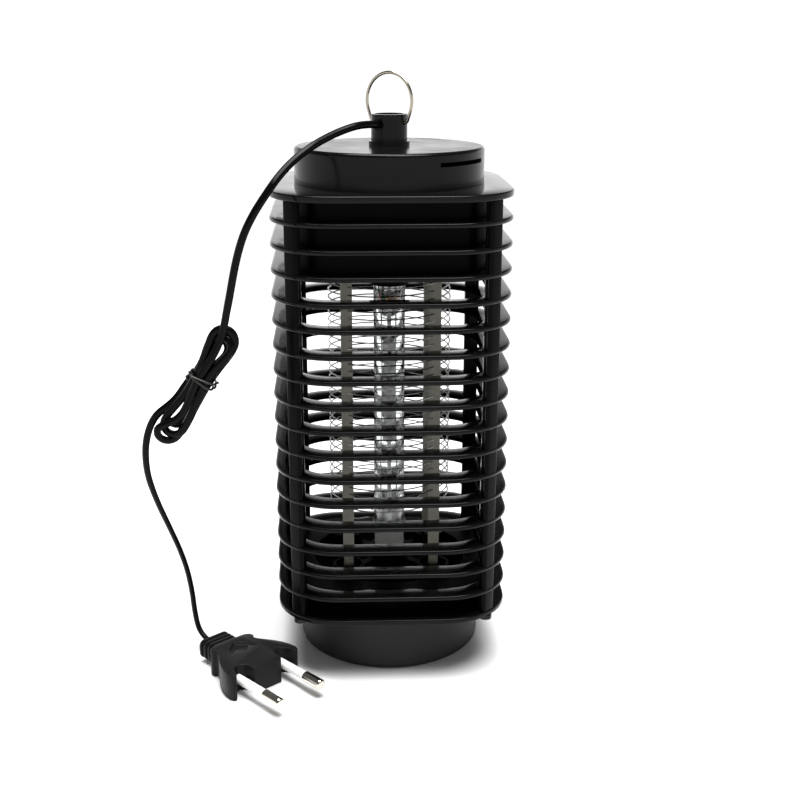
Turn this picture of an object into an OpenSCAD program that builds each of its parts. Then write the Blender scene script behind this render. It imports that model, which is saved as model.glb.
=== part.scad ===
// Hanging electric insect killer: louvred lantern body, round cap with a wire
// hanger, high-voltage wire coil round a clear lamp, and a pull-off catch tray.
// Millimetres. Z is up, the front faces -Y, and the origin is the centre of
// the tray's underside.

/* [Body] */
// Width and depth over the louvre plates
body_w = 85; // [80:0.5:90]
// Radius of the plates' rounded corners in plan
corner_r = 23.5; // [18:0.5:26]
// Distance from one louvre plate to the next
fin_pitch = 9; // [8.6:0.1:9.4]
// Thickness of a louvre plate
fin_t = 1.8; // [1.4:0.1:2.2]
// Width of a louvre ring, from its outer edge to its opening
ring_w = 7.5; // [6.5:0.5:8.5]

/* [Cap and hanger] */
// Radius of the round top cap
cap_r = 34.1; // [32:0.1:35]
// Height of the cap above the top plate
cap_h = 12.8; // [11:0.2:15]
// Radius of the boss that holds the hanger
boss_r = 6.5; // [6:0.1:7]
// Mean radius of the wire hanger's loop
bail_r = 9.7; // [9:0.1:10.5]
// Thickness of the hanger wire
bail_d = 1.4; // [1.2:0.1:1.6]

/* [Catch tray] */
// Outer radius of the catch tray
tray_r = 34.5; // [33:0.1:35.5]
// Height of the tray's outside wall
tray_h = 22.3; // [20:0.1:24]
// Wall thickness of the tray
tray_wall = 1.6; // [1.2:0.1:2]

/* [Grid and lamp] */
// Mean radius of the wire coil
coil_r = 22.6; // [22:0.1:23]
// Distance along Z between neighbouring wires
wire_gap = 2.8; // [2.6:0.1:3.2]
// Thickness of the grid wire
wire_d = 0.5; // [0.4:0.1:0.6]
// Outer radius of the lamp's clear tube
lamp_r = 5.85; // [5.4:0.05:6.2]

/* [Mains cord] */
// Diameter of the cord
cord_d = 2.4; // [2:0.1:2.4]

/* [Hidden] */

$fn = 96;
eps = 0.01;

// Heights of the stacked plates. Plates count from 0 at the bottom.
plate_top = 17;
z_bottom = tray_h;
bottom_t = 2;
z_plate0 = z_bottom + bottom_t;
top_t = 2.4;
function plate_z(i) = z_plate0 + i * fin_pitch;
z_top = plate_z(plate_top);
z_cap = z_top + cap_h;

// Corner posts sit between these distances from the axis on both axes.
post_in = 31.5;
post_out = 37;
post_inset = 0.3;
ring_open = body_w / 2 - ring_w;
ring_open_r = corner_r - ring_w;

// The compartment above is square in plan; the hopper below is round.
drum_r = 33.6;
drum_wall = 1.6;
drum_h = 26.4;
drum_half = 34.6;
drum_corner = 15.6;
z_drum = z_top - top_t - drum_h;
hopper_wall = 1.8;
floor_t = 1.8;
z_floor = plate_z(1) - floor_t;

// Grid strips stand on a square and hold the coil at its corners.
strip_at = 16;
strip_w = 4.1;
strip_t = 1;
strip_slot = 1.2;
coil_z0 = 55;
coil_turns = 16;
coil_seg = 16;

// The lamp hangs on the axis.
z_lamp_end = 45;
z_lamp_top = 143.5;
z_neck_disc = 136.4;
lamp_wall = 0.9;
holder_r = 7.4;

// Hanger wire: a round loop, two straight legs and two inward bends.
boss_h = 11;
z_boss = z_cap + boss_h;
pivot_drop = 3;
z_pivot = z_boss - pivot_drop;
bail_turn = 38;
leg_angle = 20;
leg_len = 3.4;
bend_r = 1.4;
pin_fit = 0.06;
pin_len = 3;

// The cord leaves the boss to the left and a little to the front.
exit_turn = 232;
exit_out = 7;
z_exit = 197.6;
bushing_r = 2;
tray_neck_r = 31.4;
neck_fit = 0.3;
screw_at = 34.1;
screw_r = 1.2;
screw_len = 12;

// Route of the cord from the boss to the hank.
upper_route = [[-4.4, -5.63, 197.6], [-7, -8.9, 198], [-11.5, -12, 197.8],
    [-17, -15.5, 196.3], [-22.5, -20, 194.2], [-28, -25.5, 191.4],
    [-33.5, -31, 187.6], [-38.2, -36, 183], [-42.2, -39.8, 177.8],
    [-46, -41.8, 172.2], [-49.3, -42.5, 166], [-51.6, -42.5, 159.5],
    [-53.4, -42, 152.5], [-55, -41, 145], [-56.6, -39.8, 138],
    [-58.2, -39.2, 131]];
// Route of the cord from the hank to the plug.
lower_route = [[-71.6, -34.4, 112.4], [-76, -34.8, 106.4],
    [-82.5, -34.7, 101.2], [-85.4, -34.2, 96], [-86.9, -33.4, 90.8],
    [-87.6, -32.2, 85], [-87.4, -30, 76.6], [-85.2, -27, 66],
    [-82.2, -23, 55], [-79.4, -18.5, 44], [-77.2, -15, 33], [-76, -12.8, 22],
    [-75.5, -12.2, 14.5], [-73.8, -14.2, 7.6], [-69.6, -19, 5.2],
    [-68.38, -20.41, 5.2]];
route_steps = 2;
cord_sides = 8;

// The hank leans in the XZ plane, from its top fold to its bottom fold.
hank_top = [-58, -37, 129.3];
hank_lean = 31.6;
hank_len = 39.4;
hank_fold_r = 5.4;
hank_waist_r = 4;
hank_waist = 17;
hank_t = 8.2;
tie_w = 2.4;
tie_t = 0.9;

// The plug lies flat on the surface that the lantern stands on.
plug_at = [-68.3, -20.5, 5.2];
plug_turn = -48.7;
plug_t = 10.4;
relief_len = 10;
face_u = 34;
pin_gap = 18.6;
pin_r = 2;
sleeve_r = 1.7;
core_r = 1.4;
sleeve_out = 10;
pin_out = 19;
root_u = 20;

// ---- shapes that repeat ----

// Rounded square of half width a and corner radius r.
module rounded_square(a, r) {
    union() {
        square([2 * (a - r), 2 * a], center = true);
        square([2 * a, 2 * (a - r)], center = true);
        for (sx = [-1, 1], sy = [-1, 1])
            translate([sx * (a - r), sy * (a - r)])
                circle(r);
    }
}

// Plan of one corner post in the +X +Y corner.
module post_plan(grow = 0) {
    intersection() {
        translate([post_in - grow, post_in - grow])
            square(post_out - post_in + 2 * grow);
        rounded_square(body_w / 2 - post_inset + grow, corner_r - post_inset);
    }
}

module four_corners() {
    for (a = [0, 90, 180, 270])
        rotate(a)
            children();
}

// A louvre ring with room for the posts, its top face at height z.
module louvre_ring(z, t) {
    difference() {
        translate([0, 0, z - t])
            linear_extrude(t)
                rounded_square(body_w / 2, corner_r);
        translate([0, 0, z - t - 1])
            linear_extrude(t + 2)
                rounded_square(ring_open, ring_open_r);
        four_corners()
            translate([0, 0, z - t - 1])
                linear_extrude(t + 2)
                    post_plan();
    }
}

// Tube of circles between two radii.
module pipe(r_out, r_in, z0, z1) {
    difference() {
        translate([0, 0, z0])
            cylinder(h = z1 - z0, r = r_out);
        translate([0, 0, z0 - 1])
            cylinder(h = z1 - z0 + 2, r = r_in);
    }
}

// Points on a smooth curve through a route, n steps from point to point.
function spline(p, n) = [for (i = [0:len(p) - 2], k = [0:n - 1])
    spline_at(p, i, k / n), p[len(p) - 1]];
function spline_at(p, i, t) =
    let (a = p[max(i - 1, 0)], b = p[i], c = p[i + 1],
        d = p[min(i + 2, len(p) - 1)])
    0.5 * (2 * b + (c - a) * t + (2 * a - 5 * b + 4 * c - d) * t * t
        + (3 * b - a - 3 * c + d) * t * t * t);
function unit(v) = v / norm(v);
function heading(p, i) = unit(p[min(i + 1, len(p) - 1)] - p[max(i - 1, 0)]);
// Ring of n points round p[i], kept level by a side vector that stays in plan.
function tube_ring(p, i, r, n) =
    let (h = heading(p, i), s = unit(cross(h, [0.31, 0.95, 0.05])),
        u = cross(s, h))
    [for (k = [0:n - 1]) p[i] + r * (cos(360 * k / n) * s
        + sin(360 * k / n) * u)];
module tube(p, r, n) {
    rings = [for (i = [0:len(p) - 1]) each tube_ring(p, i, r, n)];
    last = (len(p) - 1) * n;
    sides = [for (i = [0:len(p) - 2], k = [0:n - 1])
        let (a = i * n + k, b = i * n + (k + 1) % n) each
        [[a, b, b + n], [a, b + n, a + n]]];
    ends = [[for (k = [n - 1:-1:0]) k], [for (k = [0:n - 1]) last + k]];
    polyhedron(points = rings, faces = concat(sides, ends), convexity = 10);
}

// ---- base ----

module tray() {
    neck_h = 6;
    foot_r = 2.4;
    color([0.16, 0.16, 0.16])
        difference() {
            union() {
                rotate_extrude()
                    union() {
                        square([tray_r - foot_r, tray_h]);
                        translate([0, foot_r])
                            square([tray_r, tray_h - foot_r]);
                        translate([tray_r - foot_r, foot_r])
                            circle(foot_r);
                    }
                translate([0, 0, tray_h - eps])
                    cylinder(h = neck_h, r = tray_neck_r);
            }
            translate([0, 0, tray_wall + 0.4])
                cylinder(h = tray_h + neck_h, r = tray_neck_r - tray_wall);
        }
}

module bottom_plate() {
    color([0.08, 0.08, 0.08])
        difference() {
            translate([0, 0, z_bottom])
                linear_extrude(bottom_t)
                    rounded_square(body_w / 2, corner_r);
            translate([0, 0, z_bottom - 1])
                cylinder(h = bottom_t + 2, r = tray_neck_r + neck_fit);
            four_corners()
                translate([screw_at, screw_at, z_bottom - 1])
                    cylinder(h = bottom_t + 2, r = screw_r + 0.15, $fn = 32);
        }
}

module hopper_ring() {
    color([0.07, 0.07, 0.07])
        pipe(drum_r, drum_r - hopper_wall, z_plate0, z_floor);
}

// Floor with drop holes, a cup for the lamp's end and four strip sockets.
module floor_spider() {
    cup_r = 7.2;
    cup_h = 5.2;
    arm_w = 3;
    rim_r = 6;
    rim_w = 1;
    rim_h = 2.2;
    z1 = z_floor + floor_t;
    color([0.09, 0.09, 0.09])
        difference() {
            union() {
                difference() {
                    translate([0, 0, z_floor])
                        linear_extrude(floor_t)
                            rounded_square(ring_open - 0.2, ring_open_r);
                    translate([0, 0, z_floor - 1])
                        cylinder(h = floor_t + 2, r = drum_r - 4.2);
                    four_corners()
                        translate([0, 0, z_floor - 1])
                            linear_extrude(floor_t + 2)
                                post_plan(0.2);
                }
                for (a = [45, 135])
                    rotate(a)
                        translate([-30, -arm_w / 2, z_floor])
                            cube([60, arm_w, floor_t]);
                translate([0, 0, z_floor])
                    cylinder(h = cup_h, r = cup_r);
                for (sx = [-1, 1], sy = [-1, 1])
                    translate([sx * strip_at, sy * strip_at, z_floor])
                        cylinder(h = floor_t + rim_h, r = rim_r);
            }
            translate([0, 0, z1 - 0.6])
                cylinder(h = cup_h, r = cup_r - 1.2);
            for (sx = [-1, 1], sy = [-1, 1])
                translate([sx * strip_at, sy * strip_at, 0]) {
                    translate([0, 0, z1])
                        cylinder(h = rim_h + 1, r = rim_r - rim_w);
                    translate([-strip_w / 2, -strip_t / 2, z1 - strip_slot])
                        cube([strip_w, strip_t, strip_slot + 1]);
                    translate([-2.4, -sy * 3 - 4, z1])
                        cube([4.8, 8, rim_h + 1]);
                }
        }
}

module case_screws() {
    head_r = 2.4;
    head_h = 1.5;
    color([0.55, 0.55, 0.56])
        four_corners()
            translate([screw_at, screw_at, 0])
                difference() {
                    union() {
                        translate([0, 0, z_bottom - head_h])
                            cylinder(h = head_h, r = head_r, $fn = 48);
                        translate([0, 0, z_bottom - eps])
                            cylinder(h = screw_len, r = screw_r, $fn = 32);
                    }
                    for (a = [0, 90])
                        rotate(a)
                            translate([-1.4, -0.25, z_bottom - head_h - 1])
                                cube([2.8, 0.5, 1.7]);
                }
}

// ---- louvred body ----

module corner_posts() {
    h = z_top - top_t - z_plate0;
    color([0.08, 0.08, 0.08])
        four_corners()
            difference() {
                translate([0, 0, z_plate0])
                    linear_extrude(h)
                        post_plan();
                translate([screw_at, screw_at, z_plate0 - 1])
                    cylinder(h = screw_len, r = screw_r, $fn = 32);
            }
}

module louvre_fins() {
    color([0.08, 0.08, 0.08])
        for (i = [1:plate_top - 1])
            louvre_ring(plate_z(i), fin_t);
}

module top_plate() {
    color([0.08, 0.08, 0.08])
        difference() {
            translate([0, 0, z_top - top_t])
                linear_extrude(top_t)
                    rounded_square(body_w / 2, corner_r);
            translate([0, 0, z_top - top_t - 1])
                cylinder(h = top_t + 2, r = drum_r - 6);
        }
}

// ---- cap and hanger ----

module electronics_drum() {
    color([0.05, 0.05, 0.05])
        difference() {
            translate([0, 0, z_drum])
                linear_extrude(drum_h)
                    rounded_square(drum_half, drum_corner);
            translate([0, 0, z_drum + drum_wall])
                linear_extrude(drum_h)
                    rounded_square(drum_half - drum_wall,
                        drum_corner - drum_wall);
            for (sx = [-1, 1], sy = [-1, 1])
                translate([sx * strip_at - strip_w / 2,
                    sy * strip_at - strip_t / 2, z_drum - 1])
                    cube([strip_w, strip_t, drum_wall + 2]);
            translate([0, 0, z_drum - 1])
                cylinder(h = drum_wall + 2, r = 3);
        }
}

module top_cap() {
    wall = 1.8;
    edge_r = 1.4;
    slot_h = 1.5;
    slot_z = z_cap - 4.1;
    color([0.07, 0.07, 0.07])
        difference() {
            rotate_extrude()
                translate([0, z_top])
                    union() {
                        square([cap_r, cap_h - edge_r]);
                        square([cap_r - edge_r, cap_h]);
                        translate([cap_r - edge_r, cap_h - edge_r])
                            circle(edge_r);
                    }
            translate([0, 0, z_top - 1])
                cylinder(h = cap_h + 1 - wall, r = cap_r - wall);
            translate([0, 0, z_cap - wall - 1])
                cylinder(h = wall + 2, r = 4.2);
            // vent slits: one in the wall, one in the roof near the back
            intersection() {
                pipe(cap_r + 2, cap_r - wall - 1, slot_z - slot_h / 2,
                    slot_z + slot_h / 2);
                rotate(-62)
                    rotate_extrude(angle = 40)
                        translate([cap_r - 8, 0])
                            square([12, 300]);
            }
            rotate(49)
                rotate_extrude(angle = 20)
                    translate([cap_r - 3.6, z_cap - wall - 1])
                        square([1.1, wall + 2]);
        }
}

// Moves its children to the hanger's pivot, X along the pivot axis.
module at_pivot() {
    translate([0, 0, z_pivot])
        rotate(-bail_turn)
            children();
}

module hanger_boss() {
    collar_r = 7.3;
    collar_h = 1.6;
    dish_r = 5.2;
    spigot_r = 4.2;
    spigot_h = 4;
    lead_r = 1.2;
    color([0.06, 0.06, 0.06])
        difference() {
            union() {
                translate([0, 0, z_cap])
                    cylinder(h = boss_h, r = boss_r);
                translate([0, 0, z_cap])
                    cylinder(h = collar_h, r = collar_r);
                translate([0, 0, z_cap - spigot_h])
                    cylinder(h = spigot_h + eps, r = spigot_r);
            }
            translate([0, 0, z_boss - 0.8])
                cylinder(h = 2, r = dish_r);
            at_pivot()
                for (s = [0, 180])
                    rotate(s)
                        translate([boss_r - pin_len - 0.3, 0, 0])
                            rotate([0, 90, 0])
                                cylinder(h = 6, r = bail_d / 2 + pin_fit,
                                    $fn = 48);
            translate([0, 0, z_exit])
                rotate(exit_turn)
                    rotate([0, 90, 0])
                        cylinder(h = 10, r = bushing_r, $fn = 48);
            translate([0, 0, z_cap - spigot_h - 1])
                cylinder(h = z_exit - z_cap + spigot_h + 1, r = lead_r + 0.9,
                    $fn = 48);
        }
}

// Centre line of the hanger wire outside its pins, as pairs across and up.
function bend_arc(c) = [for (a = [-90:17.5:-20])
    [c[0] + bend_r * cos(a), c[1] + bend_r * sin(a)]];
function loop_arc(up) = [for (a = [-leg_angle + 10:10:170 + leg_angle])
    [bail_r * cos(a), up + bail_r * sin(a)]];
function mirrored(p) = [for (i = [len(p) - 1:-1:0]) [-p[i][0], p[i][1]]];

module hanger_bail() {
    r = bail_d / 2;
    leg_top = [bail_r * cos(leg_angle), -bail_r * sin(leg_angle)];
    leg_end = leg_top - leg_len * [sin(leg_angle), cos(leg_angle)];
    bend_x = leg_end[0] - bend_r * cos(leg_angle);
    centre_up = bend_r - leg_end[1] - bend_r * sin(leg_angle);
    side = concat([[bend_x - 0.6, 0]], bend_arc([bend_x, bend_r]),
        [[leg_top[0], leg_top[1] + centre_up]]);
    line = concat(side, loop_arc(centre_up), mirrored(side));
    color([0.78, 0.76, 0.72])
        at_pivot()
            union() {
                tube([for (p = line) [p[0], 0, p[1]]], r - 0.02, 12);
                for (s = [0, 180])
                    rotate(s)
                        translate([bend_x - pin_len, 0, 0])
                            rotate([0, 90, 0])
                                cylinder(h = pin_len, r = r, $fn = 48);
            }
}

// ---- electronics ----

board_z = z_drum + 9;
board_t = 1.6;
board_screw_x = 18;
module circuit_board() {
    color([0.12, 0.32, 0.18])
        difference() {
            translate([-22, -16, board_z])
                cube([44, 32, board_t]);
            for (s = [-1, 1])
                translate([s * board_screw_x, 0, board_z - 1])
                    cylinder(h = board_t + 2, r = 1.3, $fn = 32);
        }
}

// Screws with their spacer sleeves, from the drum's floor through the board.
module board_screws() {
    z0 = z_drum + drum_wall;
    color([0.6, 0.6, 0.6])
        for (s = [-1, 1])
            translate([s * board_screw_x, 0, 0]) {
                pipe(2.6, 1.2, z0, board_z);
                translate([0, 0, z0])
                    cylinder(h = board_z + board_t - z0, r = 1.2, $fn = 32);
                translate([0, 0, board_z + board_t])
                    cylinder(h = 1.5, r = 2.3, $fn = 32);
            }
}

module capacitors() {
    color([0.6, 0.2, 0.12])
        for (x = [-11, -1, 9])
            translate([x, 7, board_z + board_t])
                union() {
                    translate([-3.6, -2.2, 0.6])
                        cube([7.2, 4.4, 8]);
                    for (s = [-1, 1])
                        translate([s * 2.5, 0, 0])
                            cylinder(h = 1, r = 0.35, $fn = 16);
                }
}

// Axial parts lying on the board: a body and two bent legs.
module axial_part(len, r) {
    lift = r + 0.5;
    translate([0, 0, board_z + board_t])
        union() {
            translate([-len / 2, 0, lift])
                rotate([0, 90, 0])
                    cylinder(h = len, r = r, $fn = 32);
            translate([-len / 2 - 2, 0, lift])
                rotate([0, 90, 0])
                    cylinder(h = len + 4, r = 0.35, $fn = 16);
            for (s = [-1, 1])
                translate([s * (len / 2 + 2), 0, 0])
                    cylinder(h = lift + 0.35, r = 0.35, $fn = 16);
        }
}

module diodes() {
    color([0.1, 0.1, 0.1])
        for (x = [-9, 2])
            translate([x, -11, 0])
                axial_part(5, 1.35);
}

module resistors() {
    color([0.72, 0.6, 0.42])
        for (x = [-9, 3])
            translate([x, -4, 0])
                axial_part(6.4, 1.2);
}

// Two insulated wires from the boss down to the board.
module mains_leads() {
    color([0.5, 0.3, 0.15])
        for (s = [-1, 1])
            tube([[s * 0.75, 0, z_exit - 1.6], [s * 0.75, 0, z_cap - 8],
                [s * 4, -2.5, z_cap - 13], [s * 12.5, -7.5, z_cap - 17],
                [s * 15, -9, z_cap - 20],
                [s * 15, -9, board_z + board_t]], 0.6, 8);
}

// Short wires from the board's edge down to the tops of two strips.
module grid_leads() {
    strip_top = z_drum + drum_wall + 1;
    color([0.7, 0.1, 0.08])
        for (s = [-1, 1])
            tube([[s * strip_at, -s * 14.5, board_z],
                [s * strip_at, -s * 14.5, strip_top + 2.4],
                [s * strip_at, -s * 15.2, strip_top + 0.9],
                [s * strip_at, -s * strip_at, strip_top]], 0.5, 8);
}

// ---- grid ----

module grid_strip(sx, sy) {
    top = z_drum + drum_wall + 1;
    foot = z_floor + floor_t - strip_slot;
    color([0.46, 0.45, 0.4])
        translate([sx * strip_at - strip_w / 2, sy * strip_at - strip_t / 2,
            foot])
            cube([strip_w, strip_t, top - foot]);
}

module grid_strip_front_left() {
    grid_strip(-1, -1);
}

module grid_strip_front_right() {
    grid_strip(1, -1);
}

module grid_strip_back_left() {
    grid_strip(-1, 1);
}

module grid_strip_back_right() {
    grid_strip(1, 1);
}

// One of two interleaved windings; lift is its start above the coil's foot.
module grid_wire(lift) {
    rise = 2 * wire_gap / coil_seg;
    points = [for (i = [0:coil_turns * coil_seg])
        [coil_r * cos(45 + 360 * i / coil_seg),
        coil_r * sin(45 + 360 * i / coil_seg), coil_z0 + lift + rise * i]];
    color([0.75, 0.75, 0.73])
        tube(points, wire_d / 2, 4);
}

module grid_wire_a() {
    grid_wire(0);
}

module grid_wire_b() {
    grid_wire(wire_gap);
}

// ---- lamp ----

module lamp_holder() {
    color([0.05, 0.05, 0.05])
        pipe(holder_r, lamp_r, z_lamp_top - 3.3, z_drum);
}

module lamp_tube() {
    color([0.9, 0.93, 0.95, 0.4])
        pipe(lamp_r, lamp_r - lamp_wall, z_lamp_end + 2, z_lamp_top);
}

module lamp_core() {
    color([0.7, 0.7, 0.68])
        union() {
            translate([0, 0, 80])
                cylinder(h = 38, r = 2.6);
            translate([0, 0, z_lamp_end + 6.6])
                cylinder(h = z_neck_disc - z_lamp_end - 6.7, r = 0.8, $fn = 32);
        }
}

// Small parts in the neck of the lamp: a disc with round parts on both sides.
module lamp_parts() {
    disc_t = 1.2;
    part_at = 3.5;
    color([0.5, 0.35, 0.2])
        union() {
            translate([0, 0, z_neck_disc])
                cylinder(h = disc_t, r = lamp_r - lamp_wall - 0.1);
            for (a = [30, 120, 210, 300])
                rotate(a) {
                    translate([part_at, 0, z_neck_disc - 3])
                        cylinder(h = 3 + eps, r = 1, $fn = 24);
                    rotate(45)
                        translate([part_at, 0, z_neck_disc + disc_t - eps])
                            cylinder(h = 2.4 + eps, r = 0.8, $fn = 24);
                }
        }
}

module lamp_lens() {
    color([0.92, 0.95, 0.97, 0.6])
        translate([0, 0, z_lamp_end + 2])
            cylinder(h = 4.6, r = lamp_r - lamp_wall);
}

module lamp_end_ring() {
    color([0.35, 0.35, 0.35])
        union() {
            pipe(lamp_r + 0.5, lamp_r - 1.2, z_lamp_end, z_lamp_end + 2);
            difference() {
                translate([0, 0, z_floor + floor_t - 0.6])
                    cylinder(h = z_lamp_end - z_floor - floor_t + 0.6 + eps,
                        r = lamp_r - 0.2);
                translate([0, 0, z_floor + floor_t])
                    cylinder(h = z_lamp_end - z_floor, r = lamp_r - 1.2);
            }
        }
}

// ---- cord and plug ----

module cord_bushing() {
    color([0.05, 0.05, 0.05])
        translate([0, 0, z_exit])
            rotate(exit_turn)
                rotate([0, 90, 0])
                    translate([0, 0, 3])
                        cylinder(h = exit_out - 3, r = bushing_r, $fn = 48);
}

module cord_upper() {
    color([0.05, 0.05, 0.05])
        tube(spline(upper_route, route_steps), cord_d / 2, cord_sides);
}

module cord_lower() {
    color([0.05, 0.05, 0.05])
        tube(spline(lower_route, route_steps), cord_d / 2, cord_sides);
}

// Puts its children in the hank's frame: Y along it, from the top fold down.
module in_hank() {
    translate(hank_top)
        rotate([0, hank_lean, 0])
            rotate([90, 0, 0])
                children();
}

module cord_hank() {
    color([0.06, 0.06, 0.06])
        in_hank()
            translate([0, 0, -hank_t / 2])
                linear_extrude(hank_t)
                    union() {
                        hull() {
                            circle(hank_fold_r, $fn = 32);
                            translate([0, -hank_waist])
                                circle(hank_waist_r, $fn = 32);
                        }
                        hull() {
                            translate([0, -hank_waist])
                                circle(hank_waist_r, $fn = 32);
                            translate([0, -hank_len])
                                circle(hank_fold_r, $fn = 32);
                        }
                    }
}

module cord_tie() {
    color([0.1, 0.1, 0.1])
        in_hank()
            translate([0, -hank_waist, 0])
                difference() {
                    cube([2 * (hank_waist_r + tie_t) + 0.6, tie_w,
                        hank_t + 2 * tie_t], center = true);
                    cube([2 * hank_waist_r + 0.6, tie_w + 2, hank_t],
                        center = true);
                }
}

// Puts its children in the plug's frame: X along the pins, from the cord end.
module in_plug() {
    translate(plug_at)
        rotate(plug_turn)
            children();
}

module plug_relief() {
    color([0.06, 0.06, 0.06])
        in_plug()
            union() {
                translate([0, -4.8, -2.8])
                    cube([relief_len, 9.6, 5.6]);
                for (k = [0:3])
                    translate([0.3 + 2.4 * k, -6.5, -3.8])
                        cube([1.5, 13, 7.6]);
            }
}

// Half of the plug's outline in plan, on the +Y side.
plug_half = [[relief_len, 0], [relief_len, 5.6], [10.6, 8.2], [11.8, 10.4],
    [13.2, 11.4], [14.8, 11], [15.8, 9.8], [17.6, 10.4], [21, 12.4],
    [25, 14.2], [28.6, 15.2], [31.4, 15.4], [33, 14.8], [33.4, 13.8],
    [32.4, 12.9], [30.6, 12.4], [29, 11.4], [28.2, 9.9], [28.2, 8.6],
    [29, 7.2], [30.4, 6.4], [face_u, 6.2], [face_u, 0]];
module plug_plan() {
    union() {
        polygon(plug_half);
        mirror([0, 1])
            polygon(plug_half);
    }
}

module plug_body() {
    bevel = 1.8;
    color([0.06, 0.06, 0.06])
        in_plug()
            difference() {
                union() {
                    translate([0, 0, -plug_t / 2 + bevel])
                        linear_extrude(plug_t - 2 * bevel)
                            plug_plan();
                    translate([0, 0, -plug_t / 2])
                        linear_extrude(plug_t)
                            offset(r = -1.2, $fn = 24)
                                plug_plan();
                }
                for (s = [-1, 1])
                    translate([root_u, s * pin_gap / 2, 0])
                        rotate([0, 90, 0])
                            cylinder(h = 20, r = sleeve_r, $fn = 48);
            }
}

module plug_sleeves() {
    color([0.93, 0.93, 0.91])
        in_plug()
            for (s = [-1, 1])
                translate([0, s * pin_gap / 2, 0])
                    rotate([0, 90, 0])
                        pipe(sleeve_r, core_r, root_u, face_u + sleeve_out);
}

module plug_pins() {
    round_r = 1;
    color([0.8, 0.78, 0.74])
        in_plug()
            for (s = [-1, 1])
                translate([0, s * pin_gap / 2, 0])
                    rotate([0, 90, 0])
                        union() {
                            translate([0, 0, root_u])
                                cylinder(h = face_u + sleeve_out - root_u + eps,
                                    r = core_r, $fn = 48);
                            translate([0, 0, face_u])
                                rotate_extrude()
                                    union() {
                                        translate([0, sleeve_out])
                                            square([pin_r, pin_out - sleeve_out
                                                - round_r]);
                                        translate([0, pin_out - round_r - eps])
                                            square([pin_r - round_r,
                                                round_r + eps]);
                                        intersection() {
                                            translate([pin_r - round_r,
                                                pin_out - round_r])
                                                circle(round_r, $fn = 32);
                                            square([pin_r, pin_out]);
                                        }
                                    }
                        }
}

tray();
bottom_plate();
hopper_ring();
floor_spider();
corner_posts();
louvre_fins();
top_plate();
electronics_drum();
top_cap();
hanger_boss();
hanger_bail();
case_screws();
circuit_board();
board_screws();
capacitors();
diodes();
resistors();
mains_leads();
grid_leads();
grid_strip_front_left();
grid_strip_front_right();
grid_strip_back_left();
grid_strip_back_right();
grid_wire_a();
grid_wire_b();
lamp_holder();
lamp_tube();
lamp_core();
lamp_parts();
lamp_lens();
lamp_end_ring();
cord_bushing();
cord_upper();
cord_hank();
cord_tie();
cord_lower();
plug_relief();
plug_body();
plug_sleeves();
plug_pins();
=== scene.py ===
import math

import bmesh
import bpy
from mathutils import Matrix, Vector


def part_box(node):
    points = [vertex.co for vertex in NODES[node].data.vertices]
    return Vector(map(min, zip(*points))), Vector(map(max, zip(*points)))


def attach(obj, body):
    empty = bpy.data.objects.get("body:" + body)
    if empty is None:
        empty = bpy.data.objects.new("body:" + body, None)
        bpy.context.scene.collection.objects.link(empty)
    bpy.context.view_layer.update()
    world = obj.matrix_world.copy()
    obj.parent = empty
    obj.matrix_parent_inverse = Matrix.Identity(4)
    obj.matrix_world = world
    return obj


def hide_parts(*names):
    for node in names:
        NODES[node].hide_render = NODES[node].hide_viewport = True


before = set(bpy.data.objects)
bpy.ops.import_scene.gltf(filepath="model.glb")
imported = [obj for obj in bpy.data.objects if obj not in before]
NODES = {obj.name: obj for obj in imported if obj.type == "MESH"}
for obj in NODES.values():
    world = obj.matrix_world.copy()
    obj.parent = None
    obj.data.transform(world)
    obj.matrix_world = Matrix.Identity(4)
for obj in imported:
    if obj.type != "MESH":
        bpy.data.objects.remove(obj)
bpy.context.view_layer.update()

MM = 0.001


def mm(p):
    """A point in mm as a point in metres."""
    return Vector(p) * MM


# ---- shader helpers ----


def feed(node, values):
    for key, value in values.items():
        node.inputs[key].default_value = value


def map_range(tree, source, start, end, low, high):
    """Turns start..end into low..high and stops at both ends."""
    node = tree.nodes.new("ShaderNodeMapRange")
    feed(node, {"From Min": start, "From Max": end, "To Min": low, "To Max": high})
    tree.links.new(source, node.inputs["Value"])
    return node.outputs["Result"]


def noise(tree, place, scale, detail):
    node = tree.nodes.new("ShaderNodeTexNoise")
    feed(node, {"Scale": scale, "Detail": detail})
    tree.links.new(place, node.inputs["Vector"])
    return node.outputs["Fac"]


# ---- camera, world and light, in metres and degrees ----

# The camera was fitted to the object's outlines in the photo.
CAMERA_AT = (-0.01935, -0.4498, 0.2299)
CAMERA_DOWN = 16.67
CAMERA_TURN = -2.46
LENS_MM = 55.8
SENSOR_MM = 36.0
SHIFT_X = 0.0136

WHITE = (1, 1, 1, 1)
BACKDROP = 1.1
# The world's strength as a light, by the height of its direction (0 level, 1 straight up).
BRIGHT_UP_TO, BRIGHT = 0.13, 1.5
DIM_FROM, DIM = 0.36, 0.1


def make_camera():
    data = bpy.data.cameras.new("camera")
    data.sensor_width = SENSOR_MM
    data.lens = LENS_MM
    data.shift_x = SHIFT_X
    data.clip_start = 0.01
    camera = bpy.data.objects.new("camera", data)
    camera.location = CAMERA_AT
    camera.rotation_euler = (math.radians(90 - CAMERA_DOWN), 0, math.radians(CAMERA_TURN))
    bpy.context.scene.collection.objects.link(camera)
    bpy.context.scene.camera = camera


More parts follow.
